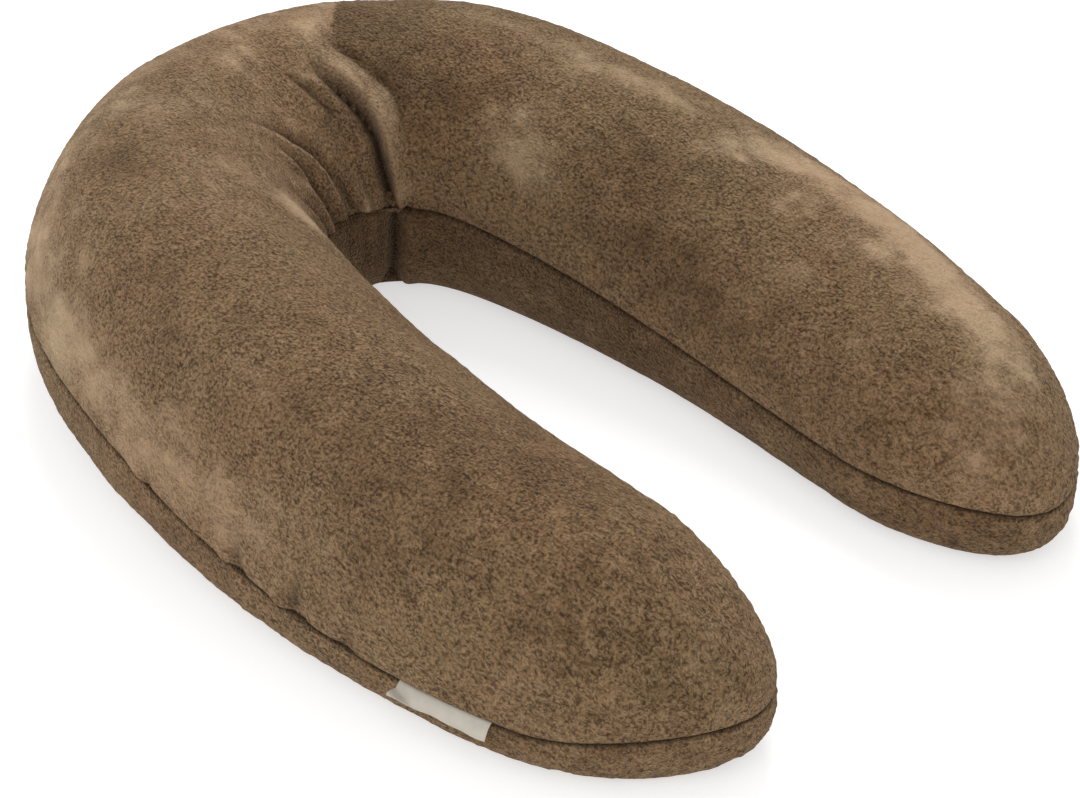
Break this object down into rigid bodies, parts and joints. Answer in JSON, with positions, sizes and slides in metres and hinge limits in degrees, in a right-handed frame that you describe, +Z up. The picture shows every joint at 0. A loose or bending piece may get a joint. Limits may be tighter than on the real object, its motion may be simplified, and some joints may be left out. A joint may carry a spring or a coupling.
{
  "type": "nursing pillow",
  "caption": "U-shaped nursing pillow with a plush zip-off cover, a zipped cotton liner and a loose bead filling.",
  "frame": {"origin": "middle of the pillow's width and depth, on the surface that its flat underside rests on", "axes": "+Z up; +Y towards the back of the bend, so the arms open towards -Y; +X to the side of the far arm, across the opening"},
  "size_m": [0.541, 0.7018, 0.176],
  "materials": {
    "plush": "short-pile plush, matt with a soft sheen at grazing angles",
    "brown_thread": "matt polyester thread",
    "white_thread": "matt polyester thread",
    "zip_tape": "matt woven tape",
    "zip_coil": "satin nylon",
    "zip_metal": "satin enamel on zinc",
    "woven_label": "matt woven ribbon, blank",
    "satin_label": "satin ribbon, blank",
    "liner_cotton": "matt plain-weave cotton",
    "liner_zip_tape": "matt woven tape",
    "liner_zip_coil": "satin nylon",
    "beads": "matt polystyrene foam beads"
  },
  "bodies": {
    "pillow": {"cover_top_panel": "plush", "cover_bottom_panel": "plush", "cover_seam_thread": "brown_thread", "cover_zip_tape_upper": "zip_tape", "cover_zip_tape_lower": "zip_tape", "cover_zip_coil_upper": "zip_coil", "cover_zip_coil_lower": "zip_coil", "cover_zip_stop_open_end": "zip_metal", "cover_zip_stop_closed_upper": "zip_metal", "cover_zip_stop_closed_lower": "zip_metal", "brand_label": "woven_label", "care_label": "satin_label", "liner_top_panel": "liner_cotton", "liner_bottom_panel": "liner_cotton", "liner_seam_thread": "white_thread", "liner_zip_tape_upper": "liner_zip_tape", "liner_zip_tape_lower": "liner_zip_tape", "liner_zip_coil_upper": "liner_zip_coil", "liner_zip_coil_lower": "liner_zip_coil", "liner_zip_stop_open_end": "zip_metal", "liner_zip_stop_closed_upper": "zip_metal", "liner_zip_stop_closed_lower": "zip_metal", "bead_filling": "beads"},
    "cover_slider": {"cover_zip_slider": "zip_metal"},
    "cover_pull": {"cover_zip_pull_tab": "zip_metal"},
    "liner_slider": {"liner_zip_slider": "zip_metal"}
  },
  "joints": [
    {"name": "cover_zip_travel", "type": "hinge", "parent": "pillow", "child": "cover_slider", "pos_m": [0, 0.09897, 0.062], "axis": [0, 0, 1], "range_deg": [0, 78.2]},
    {"name": "cover_pull_swing", "type": "hinge", "parent": "cover_slider", "child": "cover_pull", "pos_m": [0.15918, 0.29459, 0.062], "axis": [0, 0, -1], "range_deg": [0, 180]},
    {"name": "liner_zip_travel", "type": "hinge", "parent": "pillow", "child": "liner_slider", "pos_m": [0, 0.09897, 0.062], "axis": [0, 0, 1], "range_deg": [0, 30.1]}
  ]
}
